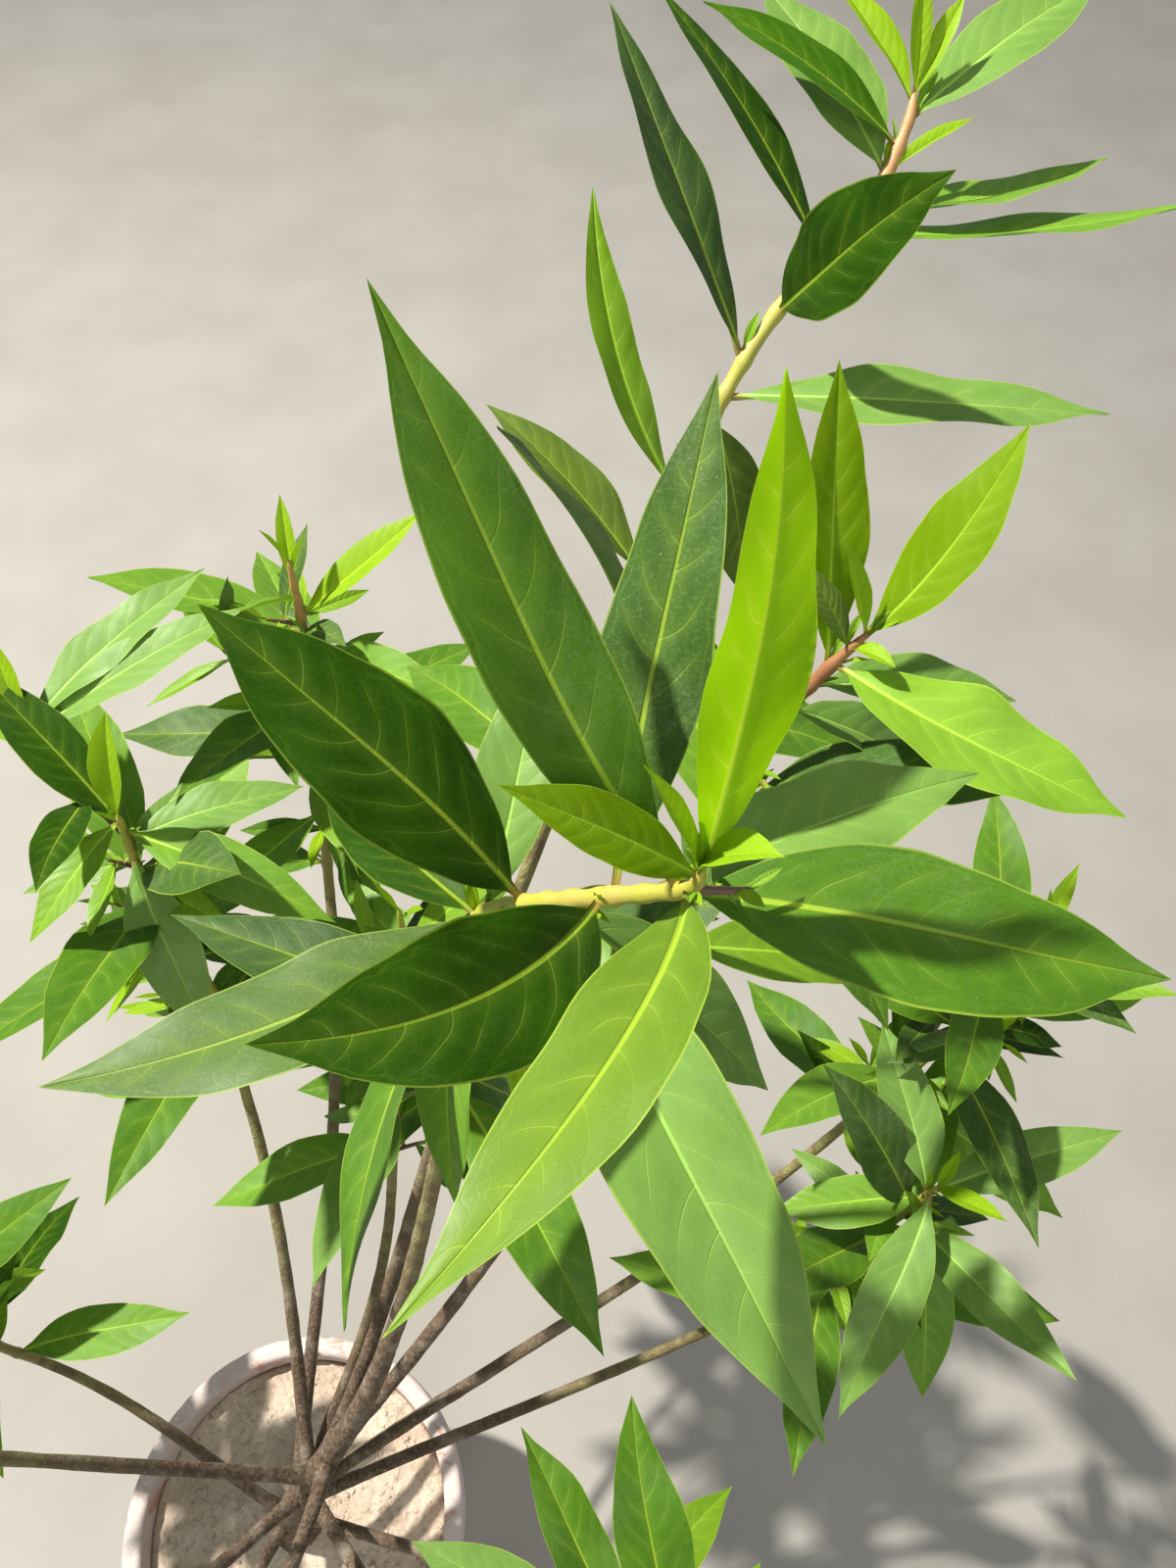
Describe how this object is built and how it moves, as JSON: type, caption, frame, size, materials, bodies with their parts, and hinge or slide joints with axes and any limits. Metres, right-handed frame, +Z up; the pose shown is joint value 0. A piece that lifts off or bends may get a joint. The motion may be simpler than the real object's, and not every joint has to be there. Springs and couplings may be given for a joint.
{
  "type": "potted conocarpus shrub",
  "caption": "Young evergreen shrub of long lance-shaped leaves on slender forked stems, rooted in a round clay nursery pot filled with dry soil.",
  "frame": {"origin": "middle of the pot's flat underside, on the surface that it stands on", "axes": "+Z up, +X to the right and +Y away from the viewer of the picture"},
  "size_m": [0.8117, 0.765, 1.1087],
  "materials": {
    "clay": "matt fired clay with a pale dusty bloom",
    "soil": "dry crumbled sandy soil",
    "bark": "grey-brown bark with fine furrows",
    "leaves": "smooth green leaves with a soft sheen on green stems"
  },
  "bodies": {
    "root": {"pot": "clay", "soil": "soil", "trunk": "bark", "bough_centre": "bark", "bough_right": "bark", "bough_far": "bark", "bough_left": "bark", "bough_low_right": "bark", "bough_low_front": "bark", "bough_front": "bark", "bough_front_left": "bark", "bough_side_left": "bark", "bough_back": "bark", "bough_inner_back": "bark", "bough_side_right": "bark", "bough_front_right": "bark", "bough_low_left": "bark", "bough_low_back": "bark", "bough_low_side": "bark", "shoot_centre": "leaves", "shoot_right": "leaves", "shoot_far": "leaves", "shoot_left": "leaves", "shoot_low_right": "leaves", "shoot_low_front": "leaves", "shoot_front": "leaves", "shoot_front_left": "leaves", "shoot_side_left": "leaves", "shoot_back": "leaves", "shoot_inner_back": "leaves", "shoot_side_right": "leaves", "shoot_front_right": "leaves", "shoot_low_left": "leaves", "shoot_low_back": "leaves", "shoot_low_side": "leaves"}
  },
  "joints": []
}
